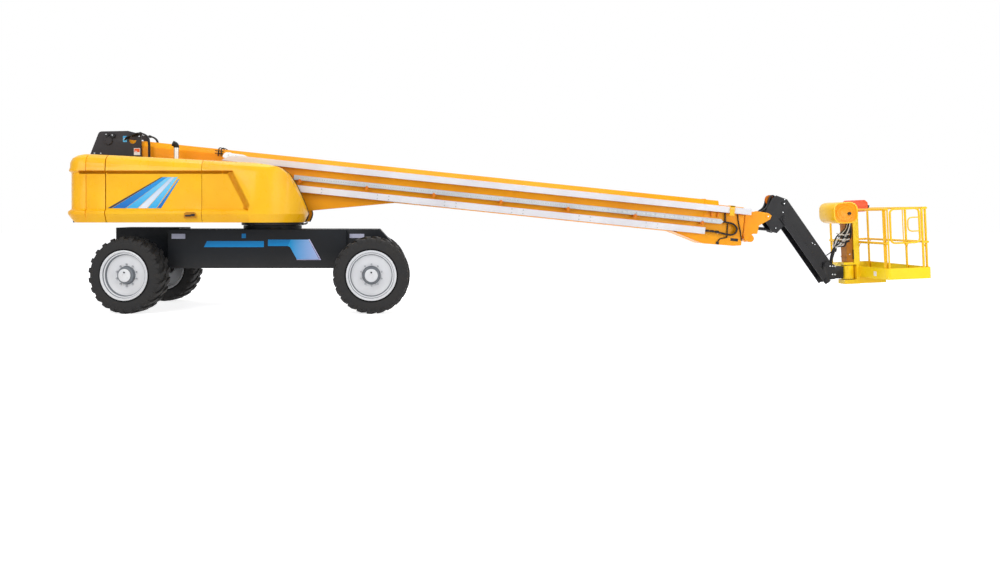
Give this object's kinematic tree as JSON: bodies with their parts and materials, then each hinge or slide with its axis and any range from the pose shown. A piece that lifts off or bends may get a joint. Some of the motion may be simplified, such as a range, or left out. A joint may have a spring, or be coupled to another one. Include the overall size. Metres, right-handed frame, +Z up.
{
  "type": "boom_lift",
  "caption": "Telescopic boom lift on four solid tyres, long orange boom stowed over yellow hoods, dark jib and yellow work platform, all joints working",
  "frame": {"origin": "on the floor, under the middle of the overall length and width", "axes": "+X from the counterweight to the work platform, +Y to the machine's left, +Z up"},
  "size_m": [13.0655, 2.6298, 2.8101],
  "materials": {
    "chassis_black": "semi-gloss",
    "deck_grey": "semi-gloss",
    "body_yellow": "gloss",
    "boom_orange": "gloss",
    "engine_metal": "matte",
    "bare_steel": "brushed",
    "rail_white": "semi-gloss",
    "chain_grey": "matte",
    "rod_chrome": "polished",
    "jib_black": "semi-gloss",
    "cover_plastic": "matte",
    "rim_white": "semi-gloss",
    "tyre_rubber": "matte"
  },
  "bodies": {
    "chassis_body": {"chassis": "chassis_black", "axle_front": "chassis_black", "axle_rear": "chassis_black"},
    "turntable_body": {"turntable": "deck_grey", "counterweight": "body_yellow", "hood_right": "body_yellow", "hood_left": "body_yellow", "engine": "engine_metal", "hydraulic_tank": "engine_metal", "exhaust": "bare_steel"},
    "door_right_body": {"door_right": "body_yellow"},
    "door_left_body": {"door_left": "body_yellow"},
    "boom_base_body": {"boom_base": "boom_orange", "hose_rail_low": "rail_white", "hose_chain": "chain_grey"},
    "boom_mid_body": {"boom_mid": "boom_orange", "hose_rail_top": "rail_white"},
    "boom_fly_body": {"boom_fly": "boom_orange", "level_barrel": "chassis_black"},
    "level_rod_body": {"level_rod": "rod_chrome"},
    "lift_barrel_body": {"lift_barrel": "chassis_black"},
    "lift_rod_body": {"lift_rod": "rod_chrome"},
    "jib_knuckle_body": {"jib_knuckle": "jib_black"},
    "jib_arm_body": {"jib_arm": "jib_black"},
    "jib_link_body": {"jib_link": "jib_black"},
    "jib_barrel_body": {"jib_barrel": "chassis_black"},
    "jib_rod_body": {"jib_rod": "rod_chrome"},
    "support_body": {"platform_support": "jib_black"},
    "platform_body": {"platform_mount": "body_yellow", "platform_floor": "body_yellow", "platform_rails": "body_yellow", "console_housing": "body_yellow", "control_box": "cover_plastic"},
    "gate_body": {"gate": "body_yellow"},
    "steer_fr_body": {"knuckle_fr": "chassis_black"},
    "wheel_fr_body": {"rim_fr": "rim_white", "tyre_fr": "tyre_rubber"},
    "steer_fl_body": {"knuckle_fl": "chassis_black"},
    "wheel_fl_body": {"rim_fl": "rim_white", "tyre_fl": "tyre_rubber"},
    "steer_rr_body": {"knuckle_rr": "chassis_black"},
    "wheel_rr_body": {"rim_rr": "rim_white", "tyre_rr": "tyre_rubber"},
    "steer_rl_body": {"knuckle_rl": "chassis_black"},
    "wheel_rl_body": {"rim_rl": "rim_white", "tyre_rl": "tyre_rubber"}
  },
  "joints": [
    {"name": "swing", "type": "hinge", "parent": "chassis_body", "child": "turntable_body", "pos_m": [-3.59, 0, 1.32], "axis": [0, 0, 1], "continuous": true},
    {"name": "boom_lift", "type": "hinge", "parent": "turntable_body", "child": "boom_base_body", "pos_m": [-6.175, 0, 2.66], "axis": [0, -1, 0], "range_deg": [0, 80]},
    {"name": "telescope", "type": "slide", "parent": "boom_base_body", "child": "boom_mid_body", "axis": [0.9947, 0, -0.1031], "range_m": [0, 7.6]},
    {"name": "telescope_fly", "type": "slide", "parent": "boom_mid_body", "child": "boom_fly_body", "axis": [0.9947, 0, -0.1031], "range_m": [0, 7.6]},
    {"name": "jib_levelling", "type": "hinge", "parent": "boom_fly_body", "child": "jib_knuckle_body", "pos_m": [4.35681, 0, 1.45432], "axis": [0, -1, 0], "range_deg": [-80, 0]},
    {"name": "jib_lift", "type": "hinge", "parent": "jib_knuckle_body", "child": "jib_arm_body", "pos_m": [4.636, 0, 1.661], "axis": [0, -1, 0], "range_deg": [-5, 125]},
    {"name": "platform_levelling", "type": "hinge", "parent": "jib_arm_body", "child": "support_body", "pos_m": [5.31287, 0, 0.68712], "axis": [0, -1, 0], "range_deg": [-125, 5]},
    {"name": "link_swing", "type": "hinge", "parent": "jib_knuckle_body", "child": "jib_link_body", "pos_m": [4.636, 0, 1.405], "axis": [0, -1, 0], "range_deg": [-5, 125]},
    {"name": "platform_rotate", "type": "hinge", "parent": "support_body", "child": "platform_body", "pos_m": [5.70518, 0, 0.57701], "axis": [-0.0436, 0, 0.999], "range_deg": [-90, 90]},
    {"name": "gate_swing", "type": "hinge", "parent": "platform_body", "child": "gate_body", "pos_m": [5.90455, -0.903, 1.3064], "axis": [-0.0436, 0, 0.999], "range_deg": [0, 90]},
    {"name": "door_right_lift", "type": "hinge", "parent": "turntable_body", "child": "door_right_body", "pos_m": [-5.2, -0.62, 2.392], "axis": [1, 0, 0], "range_deg": [-70, 0]},
    {"name": "door_left_lift", "type": "hinge", "parent": "turntable_body", "child": "door_left_body", "pos_m": [-5.2, 0.62, 2.392], "axis": [1, 0, 0], "range_deg": [0, 70]},
    {"name": "lift_barrel_swing", "type": "hinge", "parent": "turntable_body", "child": "lift_barrel_body", "pos_m": [-5.6, 0, 1.63], "axis": [0, -1, 0], "range_deg": [0, 75.3]},
    {"name": "lift_stroke", "type": "slide", "parent": "lift_barrel_body", "child": "lift_rod_body", "axis": [0.9995, 0, 0.0303], "range_m": [0, 1.5002]},
    {"name": "jib_barrel_swing", "type": "hinge", "parent": "jib_knuckle_body", "child": "jib_barrel_body", "pos_m": [4.636, 0, 1.405], "axis": [0, -1, 0], "range_deg": [-5.31, 120.64]},
    {"name": "jib_stroke", "type": "slide", "parent": "jib_barrel_body", "child": "jib_rod_body", "axis": [0.6545, 0, -0.7561], "range_m": [-0.0229, 0.4513]},
    {"name": "level_stroke", "type": "slide", "parent": "boom_fly_body", "child": "level_rod_body", "axis": [0.996, 0, -0.0894], "range_m": [-0.3357, 0]},
    {"name": "steer_fr", "type": "hinge", "parent": "chassis_body", "child": "steer_fr_body", "pos_m": [-1.976, -0.76, 0.5775], "axis": [0, 0, 1], "range_deg": [-25, 25]},
    {"name": "roll_fr", "type": "hinge", "parent": "steer_fr_body", "child": "wheel_fr_body", "pos_m": [-1.976, -1.025, 0.5775], "axis": [0, 1, 0], "continuous": true},
    {"name": "steer_fl", "type": "hinge", "parent": "chassis_body", "child": "steer_fl_body", "pos_m": [-1.976, 0.76, 0.5775], "axis": [0, 0, 1], "range_deg": [-25, 25]},
    {"name": "roll_fl", "type": "hinge", "parent": "steer_fl_body", "child": "wheel_fl_body", "pos_m": [-1.976, 1.025, 0.5775], "axis": [0, 1, 0], "continuous": true},
    {"name": "steer_rr", "type": "hinge", "parent": "chassis_body", "child": "steer_rr_body", "pos_m": [-5.576, -0.76, 0.5775], "axis": [0, 0, 1], "range_deg": [-16, 34]},
    {"name": "roll_rr", "type": "hinge", "parent": "steer_rr_body", "child": "wheel_rr_body", "pos_m": [-5.617, -1.02181, 0.5775], "axis": [0.1547, 0.988, 0], "continuous": true},
    {"name": "steer_rl", "type": "hinge", "parent": "chassis_body", "child": "steer_rl_body", "pos_m": [-5.576, 0.76, 0.5775], "axis": [0, 0, 1], "range_deg": [-16, 34]},
    {"name": "roll_rl", "type": "hinge", "parent": "steer_rl_body", "child": "wheel_rl_body", "pos_m": [-5.535, 1.02181, 0.5775], "axis": [0.1547, 0.988, 0], "continuous": true}
  ],
  "couplings": [
    {"joint": "telescope_fly", "follows": "telescope", "ratio": 1},
    {"joint": "jib_levelling", "follows": "boom_lift", "ratio": -1},
    {"joint": "platform_levelling", "follows": "jib_lift", "ratio": -1},
    {"joint": "link_swing", "follows": "jib_lift", "ratio": 1},
    {"joint": "lift_barrel_swing", "follows": "boom_lift", "ratio": 0.93494},
    {"joint": "lift_stroke", "follows": "boom_lift", "m_per_rad": 1.0708},
    {"joint": "jib_barrel_swing", "follows": "jib_lift", "ratio": 0.96113},
    {"joint": "jib_stroke", "follows": "jib_lift", "m_per_rad": 0.20456},
    {"joint": "level_stroke", "follows": "boom_lift", "m_per_rad": -0.23681},
    {"joint": "steer_fl", "follows": "steer_fr", "ratio": 1},
    {"joint": "steer_rl", "follows": "steer_rr", "ratio": 1}
  ]
}
